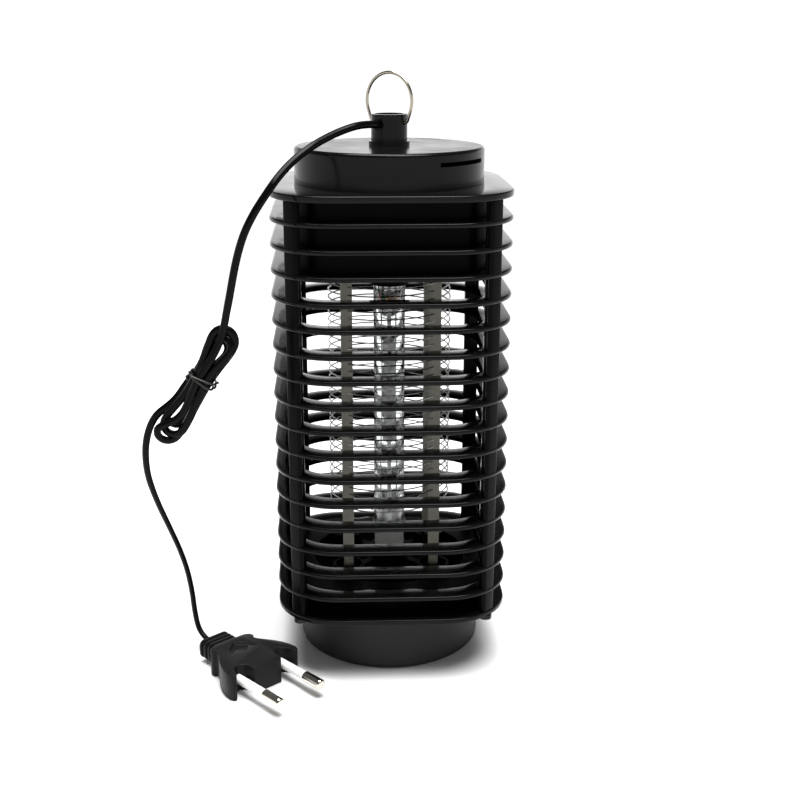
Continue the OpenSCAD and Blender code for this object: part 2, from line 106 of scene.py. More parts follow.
def make_world():
    """White to the camera; as a light it is bright low down and dim above."""
    world = bpy.data.worlds.new("studio")
    world.use_nodes = True
    tree = world.node_tree
    tree.nodes.clear()
    out = tree.nodes.new("ShaderNodeOutputWorld")
    seen = tree.nodes.new("ShaderNodeBackground")
    feed(seen, {"Color": WHITE, "Strength": BACKDROP})
    light = tree.nodes.new("ShaderNodeBackground")
    feed(light, {"Color": WHITE})
    coord = tree.nodes.new("ShaderNodeTexCoord")
    height = tree.nodes.new("ShaderNodeVectorMath")
    height.operation = "DOT_PRODUCT"
    height.inputs[1].default_value = (0, 0, 1)
    tree.links.new(coord.outputs["Generated"], height.inputs[0])
    strength = map_range(tree, height.outputs["Value"], BRIGHT_UP_TO, DIM_FROM, BRIGHT, DIM)
    tree.links.new(strength, light.inputs["Strength"])
    path = tree.nodes.new("ShaderNodeLightPath")
    mix = tree.nodes.new("ShaderNodeMixShader")
    tree.links.new(path.outputs["Is Camera Ray"], mix.inputs[0])
    tree.links.new(light.outputs[0], mix.inputs[1])
    tree.links.new(seen.outputs[0], mix.inputs[2])
    tree.links.new(mix.outputs[0], out.inputs["Surface"])
    bpy.context.scene.world = world


def area_light(name, place, aim, size, power):
    data = bpy.data.lights.new(name, "AREA")
    data.shape = "RECTANGLE"
    data.size, data.size_y = size
    data.energy = power
    light = bpy.data.objects.new(name, data)
    light.location = place
    light.rotation_euler = (Vector(aim) - Vector(place)).to_track_quat("-Z", "Y").to_euler()
    light.visible_camera = False
    bpy.context.scene.collection.objects.link(light)


make_camera()
make_world()
area_light("top_box", place=(0.05, -0.05, 1.6), aim=(0, 0, 0), size=(0.9, 1.5), power=66)
bpy.context.scene.view_settings.view_transform = "Standard"

# ---- mesh helpers ----

SMOOTH_ANGLE = 35
BEVELLED_SMOOTH_ANGLE = 40


def shade(mesh, smooth_angle, outward=False):
    """Smooth faces, sharp edges above smooth_angle degrees; outward also turns the normals out."""
    work = bmesh.new()
    work.from_mesh(mesh)
    if outward:
        bmesh.ops.recalc_face_normals(work, faces=work.faces)
    for edge in work.edges:
        if len(edge.link_faces) == 2:
            edge.smooth = edge.calc_face_angle(0) < math.radians(smooth_angle)
    for face in work.faces:
        face.smooth = True
    work.to_mesh(mesh)
    work.free()


def new_object(name, verts, faces, smooth_angle=SMOOTH_ANGLE):
    mesh = bpy.data.meshes.new(name)
    mesh.from_pydata([tuple(v) for v in verts], [], faces)
    mesh.validate()
    shade(mesh, smooth_angle, outward=True)
    obj = bpy.data.objects.new(name, mesh)
    bpy.context.scene.collection.objects.link(obj)
    return obj


def modify(obj, kind, **settings):
    modifier = obj.modifiers.new(kind.lower(), kind)
    for key, value in settings.items():
        setattr(modifier, key, value)


def bevel(obj, width, angle=30, segments=2):
    """Rounds edges sharper than angle degrees by width mm, and applies every modifier."""
    modify(obj, "BEVEL", width=width * MM, segments=segments, limit_method="ANGLE",
           angle_limit=math.radians(angle))
    graph = bpy.context.evaluated_depsgraph_get()
    graph.update()
    done = bpy.data.meshes.new_from_object(obj.evaluated_get(graph))
    obj.modifiers.clear()
    obj.data = done
    shade(obj.data, BEVELLED_SMOOTH_ANGLE)


class Build:
    """Gathers the vertices and faces of one piece, in mm."""

    def __init__(self):
        self.verts, self.faces = [], []

    def loops(self, loops, closed=False, caps=True):
        """Skins a row of loops that have equally many points."""
        base, n = len(self.verts), len(loops[0])
        for loop in loops:
            self.verts.extend(loop)
        count = len(loops)
        for i in range(count if closed else count - 1):
            a, b = base + i * n, base + ((i + 1) % count) * n
            for k in range(n):
                j = (k + 1) % n
                self.faces.append((a + k, a + j, b + j, b + k))
        if caps and not closed:
            self.faces.append(tuple(base + k for k in reversed(range(n))))
            self.faces.append(tuple(base + (count - 1) * n + k for k in range(n)))

    def tube(self, points, radius, sides=12, closed=False):
        """A round tube along points; radius is one number or one for each point."""
        count = len(points)
        radii = [radius] * count if isinstance(radius, (int, float)) else radius
        tangents = []
        for i in range(count):
            before = points[(i - 1) % count if closed else max(i - 1, 0)]
            after = points[(i + 1) % count if closed else min(i + 1, count - 1)]
            tangents.append((Vector(after) - Vector(before)).normalized())
        side = tangents[0].orthogonal().normalized()
        axes = []
        for i in range(count):
            if i:
                side = tangents[i - 1].rotation_difference(tangents[i]) @ side
                side = (side - tangents[i] * side.dot(tangents[i])).normalized()
            axes.append((side, tangents[i].cross(side)))
        self.loops(
            [
                [Vector(points[i]) + (s * math.cos(a) + u * math.sin(a)) * radii[i]
                 for a in (math.tau * k / sides for k in range(sides))]
                for i, (s, u) in enumerate(axes)
            ],
            closed=closed,
        )

    def flat_cord(self, points, half_wide, half_thin, turns, viewer, sides=16):
        """An oval cord; turns gives each point's twist, 0 where its wide side faces the viewer."""
        last = len(points) - 1
        rings = []
        for i, p in enumerate(points):
            before, after = points[max(i - 1, 0)], points[min(i + 1, last)]
            along = (Vector(after) - Vector(before)).normalized()
            across = along.cross(Vector(viewer)).normalized()
            depth = along.cross(across)
            wide = across * math.cos(turns[i]) + depth * math.sin(turns[i])
            thin = along.cross(wide)
            rings.append([Vector(p) + wide * (half_wide * math.cos(a)) + thin * (half_thin * math.sin(a))
                          for a in (math.tau * k / sides for k in range(sides))])
        self.loops(rings)

    def spin(self, profile, sides, closed=False):
        """Turns a profile of (radius, z) about Z."""
        rings = [
            [(r * math.cos(a), r * math.sin(a), z)
             for a in (math.tau * k / sides for k in range(sides))]
            for r, z in profile
        ]
        self.loops(rings, closed=closed, caps=not closed)

    def prism(self, outline, z0, z1):
        """Fills an outline of (x, y) from z0 to z1."""
        self.loops([[(x, y, z) for x, y in outline] for z in (z0, z1)])

    def make(self, name, matrix=None, smooth_angle=SMOOTH_ANGLE):
        verts = [Vector(v) * MM for v in self.verts]
        if matrix is not None:
            verts = [matrix @ v for v in verts]
        return new_object(name, verts, self.faces, smooth_angle)


def catmull(points, steps):
    """A smooth curve through the points."""
    p = [Vector(v) for v in points]
    out = []
    for i in range(len(p) - 1):
        a, b, c, d = p[max(i - 1, 0)], p[i], p[i + 1], p[min(i + 2, len(p) - 1)]
        for k in range(steps):
            t = k / steps
            out.append(
                0.5 * (2 * b + (c - a) * t + (2 * a - 5 * b + 4 * c - d) * t * t
                + (3 * b - a - 3 * c + d) * t * t * t)
            )
    out.append(p[-1])
    return out


def soften(points, step, passes):
    """The same line with evenly spaced points and its joints rounded off."""
    out, walked = [points[0]], 0.0
    for a, b in zip(points, points[1:]):
        span = (b - a).length
        while walked + span >= step:
            a = a + (b - a) * ((step - walked) / span)
            span = (b - a).length
            walked = 0.0
            out.append(a)
        walked += span
    out.append(points[-1])
    for _ in range(passes):
        middle = [(a + b * 2 + c) * 0.25 for a, b, c in zip(out, out[1:], out[2:])]
        out = [out[0], *middle, out[-1]]
    return out


def rounded_rectangle(a, b, r, n):
    """Points round a rectangle with half widths a and b and corner radius r."""
    points = []
    for q in range(4):
        cx = (a - r) * (1 if q in (0, 3) else -1)
        cy = (b - r) * (1 if q in (0, 1) else -1)
        for k in range(n + 1):
            t = math.radians(90 * q + 90 * k / n)
            points.append((cx + r * math.cos(t), cy + r * math.sin(t)))
    return points


# ---- materials ----


def rgba(colour):
    """A colour from three numbers, or a grey from one."""
    return (*colour, 1) if isinstance(colour, tuple) else (colour, colour, colour, 1)


def material(name, dark, light, rough, metallic=0.0, grain=2500.0, bump=0.05, blotch=60.0,
             spec=0.5, bands=None, transmission=0.0):
    """Two mixed colours, uneven roughness and a fine grain, all from noise in object space."""
    m = bpy.data.materials.new(name)
    m.use_nodes = True
    tree = m.node_tree
    shader = tree.nodes["Principled BSDF"]
    place = tree.nodes.new("ShaderNodeTexCoord").outputs["Object"]
    broad = noise(tree, place, blotch, 5)
    tint = tree.nodes.new("ShaderNodeMix")
    tint.data_type = "RGBA"
    feed(tint, {"A": rgba(dark), "B": rgba(light)})
    factor = broad
    if bands:
        wave = tree.nodes.new("ShaderNodeTexWave")
        wave.bands_direction = "Z"
        feed(wave, {"Scale": bands, "Distortion": 1.5})
        tree.links.new(place, wave.inputs["Vector"])
        both = tree.nodes.new("ShaderNodeMath")
        both.operation = "MULTIPLY"
        tree.links.new(wave.outputs["Fac"], both.inputs[0])
        tree.links.new(broad, both.inputs[1])
        factor = both.outputs[0]
    tree.links.new(factor, tint.inputs["Factor"])
    tree.links.new(tint.outputs["Result"], shader.inputs["Base Color"])
    tree.links.new(map_range(tree, broad, 0.3, 0.7, *rough), shader.inputs["Roughness"])
    relief = tree.nodes.new("ShaderNodeBump")
    feed(relief, {"Strength": bump, "Distance": 0.0001})
    tree.links.new(noise(tree, place, grain, 3), relief.inputs["Height"])
    tree.links.new(relief.outputs["Normal"], shader.inputs["Normal"])
    feed(shader, {"Metallic": metallic, "Specular IOR Level": spec,
                  "Transmission Weight": transmission})
    return m


BLACK = material("black_plastic", (0.002, 0.002, 0.0021), (0.005, 0.005, 0.0052), (0.08, 0.15),
                 spec=0.1)
# inner_plastic_painted_shade is a darker, barely glossy copy of the black plastic: painted shade for the
# parts inside the cage.
INNER = material("inner_plastic_painted_shade", 0.001, 0.002, (0.25, 0.4), bump=0.1, spec=0.02)
# shade_plastic is painted shade: the black plastic with no reflection, for the faces inside the fins'
# holes.
SHADE = material("shade_plastic", 0.001, 0.003, (0.6, 0.8), bump=0.1, spec=0.0)
# post_plastic_painted_shade is a darker, less glossy copy of the black plastic: painted shade on the
# posts between the fins.
POST = material("post_plastic_painted_shade", 0.001, 0.003, (0.16, 0.28), bump=0.08, spec=0.03)
CAP = material("cap_plastic", 0.001, 0.004, (0.15, 0.24), bump=0.08, spec=0.11)
TRAY = material("tray_plastic", 0.011, 0.017, (0.45, 0.58), grain=4000, bump=0.3, spec=0.14)
STRIP = material("strip_plastic", (0.13, 0.126, 0.098), (0.22, 0.213, 0.172), (0.35, 0.55),
                 bump=0.3, blotch=160)
STEEL = material("grid_steel", (0.12, 0.12, 0.115), (0.38, 0.38, 0.365), (0.18, 0.32),
                 metallic=1.0, bump=0.1)
BRASSY = material("hanger_wire", (0.24, 0.215, 0.17), (0.42, 0.385, 0.32), (0.16, 0.28),
                  metallic=1.0, bump=0.03)
CORD = material("cord_rubber", 0.001, 0.003, (0.12, 0.22), bump=0.08, spec=0.07)
TIE = material("tie_wire", (0.005, 0.005, 0.004), (0.022, 0.022, 0.018), (0.3, 0.45), bump=0.1,
               blotch=400, spec=0.25)
PLUG = material("plug_plastic", 0.006, 0.010, (0.36, 0.48), bump=0.2, grain=3500, spec=0.1)
SLEEVE = material("sleeve_white", (0.80, 0.80, 0.78), (0.90, 0.90, 0.88), (0.35, 0.45), bump=0.1)
NICKEL = material("pin_nickel", (0.55, 0.51, 0.45), (0.80, 0.77, 0.71), (0.12, 0.2),
                  metallic=1.0, bump=0.01, blotch=25)
GLASS = material("lamp_glass", (0.90, 0.92, 0.93), (0.97, 0.98, 0.98), (0.02, 0.08), spec=0.3,
                 transmission=1.0)
FROST = material("lamp_facets", (0.75, 0.75, 0.74), (0.98, 0.98, 0.97), (0.08, 0.2), bump=0.1,
                 transmission=0.55, blotch=900)
CORE = material("lamp_core", (0.28, 0.28, 0.27), (0.60, 0.60, 0.58), (0.3, 0.5), bump=0.2,
                bands=120, blotch=300)
GRAY = material("gray_plastic", (0.16, 0.16, 0.155), (0.26, 0.26, 0.25), (0.4, 0.55), bump=0.2)
RED = material("capacitor_red", (0.30, 0.012, 0.006), (0.50, 0.03, 0.012), (0.2, 0.35))
TAN = material("component_tan", (0.28, 0.15, 0.05), (0.46, 0.28, 0.11), (0.35, 0.5), blotch=800)
GREEN = material("board_green", (0.012, 0.11, 0.03), (0.03, 0.21, 0.06), (0.3, 0.45), blotch=400)
BROWN = material("lead_brown", (0.12, 0.035, 0.012), (0.20, 0.07, 0.025), (0.35, 0.5))
DARK_SCREW = material("dark_screw_steel", 0.012, 0.03, (0.3, 0.45), metallic=1.0)
SCREW = material("screw_steel", 0.45, 0.7, (0.22, 0.35), metallic=1.0)


def paint(obj, mat):
    if obj.data.materials:
        for i in range(len(obj.data.materials)):
            obj.data.materials[i] = mat
    else:
        obj.data.materials.append(mat)


def piece(obj, mat, slot, *nodes, body="lantern"):
    paint(obj, mat)
    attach(obj, body)
    if nodes:
        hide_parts(*nodes)
    return obj


# ---- the cord and its hank ----

# The route of the lead in mm, from the boss to the hank and from the hank to the
# plug. part.scad has the same points.
UPPER = [(-4.4, -5.63, 197.6), (-7, -8.9, 198), (-11.5, -12, 197.8), (-17, -15.5, 196.3),
         (-22.5, -20, 194.2), (-28, -25.5, 191.4), (-33.5, -31, 187.6), (-38.2, -36, 183),
         (-42.2, -39.8, 177.8), (-46, -41.8, 172.2), (-49.3, -42.5, 166), (-51.6, -42.5, 159.5),
         (-53.4, -42, 152.5), (-55, -41, 145), (-56.6, -39.8, 138), (-58.2, -39.2, 131)]
LOWER = [(-71.6, -34.4, 112.4), (-76, -34.8, 106.4), (-82.5, -34.7, 101.2), (-85.4, -34.2, 96),
         (-86.9, -33.4, 90.8), (-87.6, -32.2, 85), (-87.4, -30, 76.6), (-85.2, -27, 66),
         (-82.2, -23, 55), (-79.4, -18.5, 44), (-77.2, -15, 33), (-76, -12.8, 22),
         (-75.5, -12.2, 14.5), (-73.8, -14.2, 7.6), (-69.6, -19, 5.2), (-68.38, -20.41, 5.2)]
CORD_HALF_WIDE, CORD_HALF_THIN = 1.38, 1.04
VIEWER = (0, -0.96, 0.29)
# The lead's twist in degrees above the first height and below the second.
TWIST_ABOVE, TWIST_BELOW = 12, 75
TWIST_START_Z, TWIST_END_Z = 110, 40

HANK_TOP = Vector((-58, -37, 129.3))
HANK_LEAN = math.radians(31.6)
HANK_LEN = 39.4
WAIST = 16.6
# The hank bows to the right by BULGE at the waist and by nothing BULGE_SPAN away from it.
BULGE, BULGE_SPAN = 1.0, 22
INNER_FOLD_R = 3.8


def hank_point(x, y, z):
    """From the hank's own axes (across, up, towards the viewer) to the shared frame, in mm."""
    c, s = math.cos(HANK_LEAN), math.sin(HANK_LEAN)
    x += BULGE * (1 - ((y + WAIST) / BULGE_SPAN) ** 2)
    return HANK_TOP + Vector((x * c + y * s, -z, -x * s + y * c))


def fold(cx, cy, r, start, end, z0, z1, n=7):
    """Points round one end of the hank; angles in degrees."""
    points = []
    for k in range(n + 1):
        a = math.radians(start + (end - start) * k / n)
        points.append((cx + r * math.cos(a), cy + r * math.sin(a), z0 + (z1 - z0) * k / n))
    return points


def hank_route():
    """Three turns in four layers, from the strand on top to the one underneath."""
    foot, r = -HANK_LEN, INNER_FOLD_R
    local = [(-0.8, -5, 2.9), (-1.0, -11, 3.0), (-1.3, -17, 3.0), (-0.4, -24, 3.0),
             (0.5, -29.5, 3.0), (-0.3, -33.6, 2.9)]
    local += fold(0, foot + 0.8, 3.9, 185, 350, 2.6, 1.2)
    local += [(3.4, -32, 0.9), (2.9, -25, 0.9), (2.5, -17, 0.9), (3.1, -10, 0.9), (4.0, -5, 0.9)]
    local += fold(0, -0.9, 4.4, 5, 175, 0.9, 0.9)
    local += [(-3.9, -5, 0.9), (-3.1, -10, 0.9), (-2.5, -17, 0.9), (-2.3, -24, 0.8),
              (-3.0, -31, 0.3)]
    local += fold(0.3, foot + 3.6, r, 188, 350, -0.2, 2.2)
    local += [(3.4, -30, 2.8), (2.4, -24, 3.0), (1.5, -17, 3.0), (1.9, -11, 3.0), (3.0, -6.4, 2.8)]
    local += fold(0.4, -3.0, r, 8, 172, 2.6, -0.8)
    local += [(-2.7, -7, -1.1), (-1.5, -12, -1.1), (-0.9, -17, -1.1), (-1.6, -24, -1.1),
              (-3.1, -29, -1.1)]
    local += fold(-0.3, foot + 6.2, r, 185, 350, -1.2, -2.6)
    local += [(2.4, -28.5, -2.9), (1.3, -24, -3.0), (0.7, -17, -3.0), (1.4, -11.5, -3.0),
              (2.8, -8, -3.0)]
    local += fold(-0.4, -5.0, r, 8, 170, -3.0, -3.1)
    local += [(-3.4, -9, -3.1), (-2.8, -12.5, -3.1), (-2.9, -16, -3.0)]
    return [hank_point(*p) for p in local]


def cord_twist(z):
    low = min(max((TWIST_START_Z - z) / (TWIST_START_Z - TWIST_END_Z), 0), 1)
    return math.radians(TWIST_ABOVE + (TWIST_BELOW - TWIST_ABOVE) * low * low * (3 - 2 * low))


route = [Vector(p) for p in UPPER] + hank_route() + [Vector(p) for p in LOWER]
line = soften(catmull(route, 4), step=1.0, passes=6)
cord_build = Build()
cord_build.flat_cord(line, CORD_HALF_WIDE, CORD_HALF_THIN, [cord_twist(p.z) for p in line], VIEWER)
cord = piece(cord_build.make("mains_cord"), CORD, "cord_black", "cord_upper", "cord_hank", "cord_lower")

# ---- the tie round the hank ----

TIE_HALF_WIDE, TIE_HALF_DEEP = 4.7, 4.55
TIE_WIRE_R, TIE_END_R = 0.4, 0.42


def squared(wave, power):
    """A sine or cosine value pushed towards 1 or -1, which turns a circle into a soft square."""
    return math.copysign(abs(wave) ** power, wave)


def make_tie():
    """Two wire rings round the waist and a short wavy end at each side."""
    b = Build()
    for lift, tilt, phase in ((0.55, 0.10, 0.0), (-0.55, -0.16, 0.8)):
        ring = []
        for k in range(40):
            t = math.tau * k / 40
            x = squared(math.cos(t), 0.55) * TIE_HALF_WIDE
            y = -WAIST + lift + tilt * x + 0.25 * math.sin(2 * t + phase)
            ring.append(hank_point(x, y, squared(math.sin(t), 0.6) * TIE_HALF_DEEP))
        b.tube(ring, TIE_WIRE_R, 8, closed=True)
    for side in (-1, 1):
        end = []
        for k in range(22):
            t = k / 21
            x = side * (4.8 + 0.35 * math.cos(9.5 * t))
            y = -WAIST + side * 0.8 + (1.5 - 3.0 * t)
            end.append(hank_point(x, y, 2.2 + 0.4 * math.sin(9.5 * t)))
        b.tube(end, TIE_END_R, 8)
    return b.make("cord_tie_wire")


tie = piece(make_tie(), TIE, "tie_black", "cord_tie")

# ---- the plug: u runs along its axis from the lead, v across it ----

PLUG_AT = Matrix.Translation(mm((-68.3, -20.5, 5.2))) @ Matrix.Rotation(math.radians(-48.7), 4, "Z")
RIBS, RIB_PITCH = 4, 2.4
SHELL_HALF = 5.15
SHELL_ROUND = 1.1
CHEVRON_FLOOR, CUTTER_TOP = 4.4, 8
HALF_SHELL = [(10, 5.6), (10.3, 7.4), (11.1, 8.9), (12.3, 9.6), (13.6, 9.4), (14.4, 8.5),
              (16.6, 9.3), (21, 12.2), (25, 14.2), (28.6, 15.2), (31.4, 15.4), (33.0, 14.8),
              (33.4, 13.8), (32.4, 12.9), (30.6, 12.4), (29.0, 11.4), (28.2, 9.9), (28.2, 8.6),
              (29.0, 7.2), (30.4, 6.4), (34, 6.2)]
CHEVRON = [(13.4, 0), (16.4, 4.4), (20.6, 6.2), (18.4, 2.6), (21.6, 0), (18.4, -2.6),
           (20.6, -6.2), (16.4, -4.4)]


def make_relief():
    """A ribbed sleeve; its stations are (u, half width, half thickness, corner radius)."""
    stations = [(0.0, 2.2, 1.9, 1.6)]
    for rib in range(RIBS):
        u = 0.3 + RIB_PITCH * rib
        hw, ht = 6.5 - 0.1 * rib, 3.6 + 0.12 * rib
        stations += [(u, hw - 1.6, ht - 1.4, 1.6), (u + 0.12, hw - 0.3, ht - 0.3, 1.9),
                     (u + 0.4, hw, ht, 2.0), (u + 1.15, hw, ht, 2.0),
                     (u + 1.42, hw - 0.3, ht - 0.3, 1.9), (u + 1.55, hw - 1.6, ht - 1.4, 1.6)]
    stations += [(10.4, 4.9, 3.0, 1.6)]
    b = Build()
    b.loops([[(u, y, z) for y, z in rounded_rectangle(hw, ht, r, 5)] for u, hw, ht, r in stations])
    return b.make("plug_strain_relief", PLUG_AT, smooth_angle=50)


def make_shell():
    """The plug's body with a chevron sunk into its upper side."""
    whole = HALF_SHELL + [(u, -v) for u, v in reversed(HALF_SHELL)]
    b = Build()
    b.prism(whole, -SHELL_HALF, SHELL_HALF)
    shell = b.make("plug_shell", PLUG_AT)
    b = Build()
    b.prism(CHEVRON, CHEVRON_FLOOR, CUTTER_TOP)
    cutter = b.make("plug_cutter", PLUG_AT)
    modify(shell, "BOOLEAN", operation="DIFFERENCE", object=cutter, solver="EXACT")
    bevel(shell, SHELL_ROUND, angle=38, segments=3)
    bpy.data.objects.remove(cutter)
    return shell


relief = piece(make_relief(), PLUG, "cord_black", "plug_relief")
plug_shell = piece(make_shell(), PLUG, "plug_plastic", "plug_body")

# ---- louvred body ----

BODY_HALF = 42.5
CORNER_R = 23.5
CORNER_AT = BODY_HALF - CORNER_R
BASE_Z0, BASE_Z1 = 22.3, 24.3
LID_Z0, LID_Z1 = 174.9, 177.3
FINS, PITCH, FIN_T = 16, 9.0, 1.8
FIN_HOLE_HALF, FIN_HOLE_R = 35, 16
LID_HOLE_R, BASE_HOLE_R = 27.6, 31.7
POST_IN, POST_OUT = 31.5, 37.0
POST_GAP = 0.3
# Each end of a post's section steps in by POST_STEP over its last POST_END mm.
POST_STEP, POST_END = 0.7, 2.6
POST_ROUND = 0.25


def level_loop(half, r, z):
    return [(x, y, z) for x, y in rounded_rectangle(half, half, r, 10)]


def plate_loops(z0, z1, hole_half, hole_r, soft):
    """The closed profile of a plate with a hole, as level loops from the outside in."""
    outside = [(0.9 * soft, z0), (0.3 * soft, z0 + 0.25 * soft), (0, z0 + 0.8 * soft),
               (0, z1 - soft), (0.12 * soft, z1 - 0.5 * soft), (0.5 * soft, z1 - 0.12 * soft),
               (soft, z1)]
    inside = [(0.25, z1), (0.05, z1 - 0.08), (0, z1 - 0.3), (0, z0 + 0.2), (0.2, z0)]
    return ([level_loop(BODY_HALF - e, CORNER_R - e, z) for e, z in outside]
            + [level_loop(hole_half + e, hole_r + e, z) for e, z in inside])


def make_plates(name, spans, hole_half, hole_r, soft):
    """One plate for each span of (bottom, top)."""
    b = Build()
    for z0, z1 in spans:
        b.loops(plate_loops(z0, z1, hole_half, hole_r, soft), closed=True)
    return b.make(name, smooth_angle=50)


def shade_holes(plates):
    """Gives the faces round the fins' holes the shade material: painted shade, the black plastic with no
    reflection.
    """
    plates.data.materials.append(SHADE)
    for face in plates.data.polygons:
        out_x, out_y = (max(abs(face.center[axis]) / MM - CORNER_AT, 0) for axis in (0, 1))
        face.material_index = int(math.hypot(out_x, out_y) < FIN_HOLE_R + 0.3)


def make_posts():
    """Four corner posts; the outer side of each follows the plates' round corner."""
    reach = CORNER_R - POST_GAP
    first = math.degrees(math.acos((POST_OUT - CORNER_AT) / reach))
    lower_end = [(POST_IN, POST_IN), (POST_OUT - POST_END, POST_IN),
                 (POST_OUT - POST_END, POST_IN + POST_STEP), (POST_OUT, POST_IN + POST_STEP)]
    arc = [(CORNER_AT + reach * math.cos(math.radians(a)), CORNER_AT + reach * math.sin(math.radians(a)))
           for a in (first + (90 - 2 * first) * k / 8 for k in range(9))]
    section = lower_end + arc + [(y, x) for x, y in reversed(lower_end[1:])]
    b = Build()
    for q in range(4):
        turn = Matrix.Rotation(math.radians(90 * q), 3, "Z")
        b.loops([[turn @ Vector((x, y, 0)) + Vector((0, 0, z)) for x, y in section]
                 for z in (BASE_Z1, LID_Z0)])
    posts = b.make("corner_post_set")
    bevel(posts, POST_ROUND)
    return posts


fin_tops = [BASE_Z1 + PITCH * i for i in range(1, FINS + 1)]
fins = make_plates("louvre_plates", [(z - FIN_T, z) for z in fin_tops], FIN_HOLE_HALF, FIN_HOLE_R, 0.8)
lid = make_plates("top_louvre_plate", [(LID_Z0, LID_Z1)], LID_HOLE_R, LID_HOLE_R, 0.6)
base = make_plates("bottom_louvre_plate", [(BASE_Z0, BASE_Z1)], BASE_HOLE_R, BASE_HOLE_R, 0.5)
piece(fins, BLACK, "black_plastic", "louvre_fins")
shade_holes(fins)
piece(lid, BLACK, "black_plastic", "top_plate")
piece(base, BLACK, "black_plastic", "bottom_plate")
piece(make_posts(), POST, "black_plastic", "corner_posts")

# ---- grid ----

COIL_R = 22.6
COIL_Z0 = 55
COIL_TURNS, COIL_STEPS, COIL_PITCH = 16, 28, 5.6
COIL_START = math.radians(45)
GRID_WIRE_R = 0.25
STRIP_AT = 16
STRIP_HALF_WIDE, STRIP_HALF_THICK = 2.05, 0.5
STRIP_ROUND = 0.18


def make_winding(name, z0):
    b = Build()
    b.tube([(COIL_R * math.cos(COIL_START + math.tau * k / COIL_STEPS),
             COIL_R * math.sin(COIL_START + math.tau * k / COIL_STEPS),
             z0 + COIL_PITCH * k / COIL_STEPS)
            for k in range(COIL_TURNS * COIL_STEPS + 1)], GRID_WIRE_R, 6)
    return b.make(name)


def make_strip(sx, sy, side):
    """A flat bar whose foot narrows to a point in its socket."""
    low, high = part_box("grid_strip_" + side)
    hw, top = STRIP_HALF_WIDE, high[2] / MM
    left = [(-hw, top), (-hw, 39.5), (-hw + 0.15, 38.9), (-1.75, 38.6), (-1.75, 35.2), (-1.2, 34.3)]
    outline = left + [(0, low[2] / MM)] + [(-x, z) for x, z in reversed(left)]
    b = Build()
    b.loops([[(STRIP_AT * sx + x, STRIP_AT * sy + y, z) for x, z in outline]
             for y in (-STRIP_HALF_THICK, STRIP_HALF_THICK)])
    strip = b.make("grid_support_" + side)
    bevel(strip, STRIP_ROUND)
    return strip


def make_tails():
    """Wires from the strips' feet towards the lamp's cup, and a loop at the front right strip."""
    b = Build()
    for sx, sy, z in ((-1, -1, 54.5), (1, -1, 51.5), (-1, 1, 52.5), (1, 1, 53.5)):
        b.tube(catmull([(STRIP_AT * sx, STRIP_AT * sy, z), (13 * sx, 13.2 * sy, z - 2.2),
                        (8.5 * sx, 8.0 * sy, z - 3.8), (4.6 * sx, 4.2 * sy, 48.2)], 5),
               GRID_WIRE_R, 6)
    b.tube([(18.2 + 1.5 * math.cos(t), -16.9, 50.4 + 2.5 * math.sin(t))
            for t in (math.tau * k / 18 for k in range(18))], GRID_WIRE_R, 6, closed=True)
    return b.make("grid_tail_wires")


piece(make_winding("grid_winding_a", COIL_Z0), STEEL, "grid_steel", "grid_wire_a")
piece(make_winding("grid_winding_b", COIL_Z0 + COIL_PITCH / 2), STEEL, "grid_steel", "grid_wire_b")
for sx, sy, side in ((-1, -1, "front_left"), (1, -1, "front_right"), (-1, 1, "back_left"),
                     (1, 1, "back_right")):
    piece(make_strip(sx, sy, side), STRIP, "strip_plastic", "grid_strip_" + side)
piece(make_tails(), STEEL, "grid_steel")

# ---- lamp ----

TUBE_R, TUBE_BORE_R = 5.85, 4.95
FACETS = 9
DISC_Z = 136.4
NECK_R = 3.6


def make_glass():
    b = Build()
    b.spin([(TUBE_R, 47), (TUBE_R, 142.8), (5.6, 143.4), (TUBE_BORE_R, 143.5), (TUBE_BORE_R, 47)],
           48, closed=True)
    return b.make("lamp_glass_tube", smooth_angle=40)


def make_facets():
    """A crown of wedges round a short drum, in the tube's lower end."""
    b = Build()
    for k in range(FACETS):
        turn = Matrix.Rotation(math.tau * k / FACETS + 0.25, 3, "Z")
        inner = [(3.3, -1.55, 51.4), (3.3, 1.55, 51.4), (3.3, 0, 47.2)]
        outer = [(4.85, -1.45, 51.5), (4.85, 1.45, 51.5), (4.6, 0, 47.1)]
        b.loops([[turn @ Vector(p) for p in inner], [turn @ Vector(p) for p in outer]])
    b.spin([(3.2, 47.1), (3.2, 51.5)], 24)
    return b.make("lamp_facet_crown", smooth_angle=20)


def make_core():
    """A stem with three wide stretches and three thin wires beside it."""
    b = Build()
    b.spin([(0.8, 51.6), (0.8, 78.6), (2.2, 79), (2.55, 79.5), (2.55, 86), (2.2, 86.4), (2.2, 88),
            (2.55, 88.4), (2.55, 108), (2.2, 108.4), (2.2, 110), (2.55, 110.4), (2.55, 117.4),
            (2.2, 118), (0.8, 118.4), (0.8, 136.2)], 32)
    for a in (0.6, 2.7, 4.6):
        x, y = 3.4 * math.cos(a), 3.4 * math.sin(a)
        b.tube(catmull([(x, y, 52), (x * 1.1, y * 0.9, 70), (x * 0.9, y * 1.1, 95), (x, y, 132)], 4),
               0.3, 6)
    return b.make("lamp_inner_element", smooth_angle=40)


def make_disc_and_shade_sheet():
    """A disc across the lamp's neck and a dark sheet on the tube's far side, which is painted shade
    behind the glass.
    """
    b = Build()
    b.spin([(4.6, DISC_Z), (4.8, DISC_Z + 0.2), (4.8, DISC_Z + 1.0), (4.6, DISC_Z + 1.2)], 32)
    # The sheet on the far side is painted shade.
    far = [math.radians(15 + 150 * k / 16) for k in range(17)]
    b.prism([(r * math.cos(a), r * math.sin(a)) for r, arc in ((4.85, far), (4.6, far[::-1]))
             for a in arc], 132.6, 143.2)
    return b.make("lamp_neck_disc_and_shade_sheet")


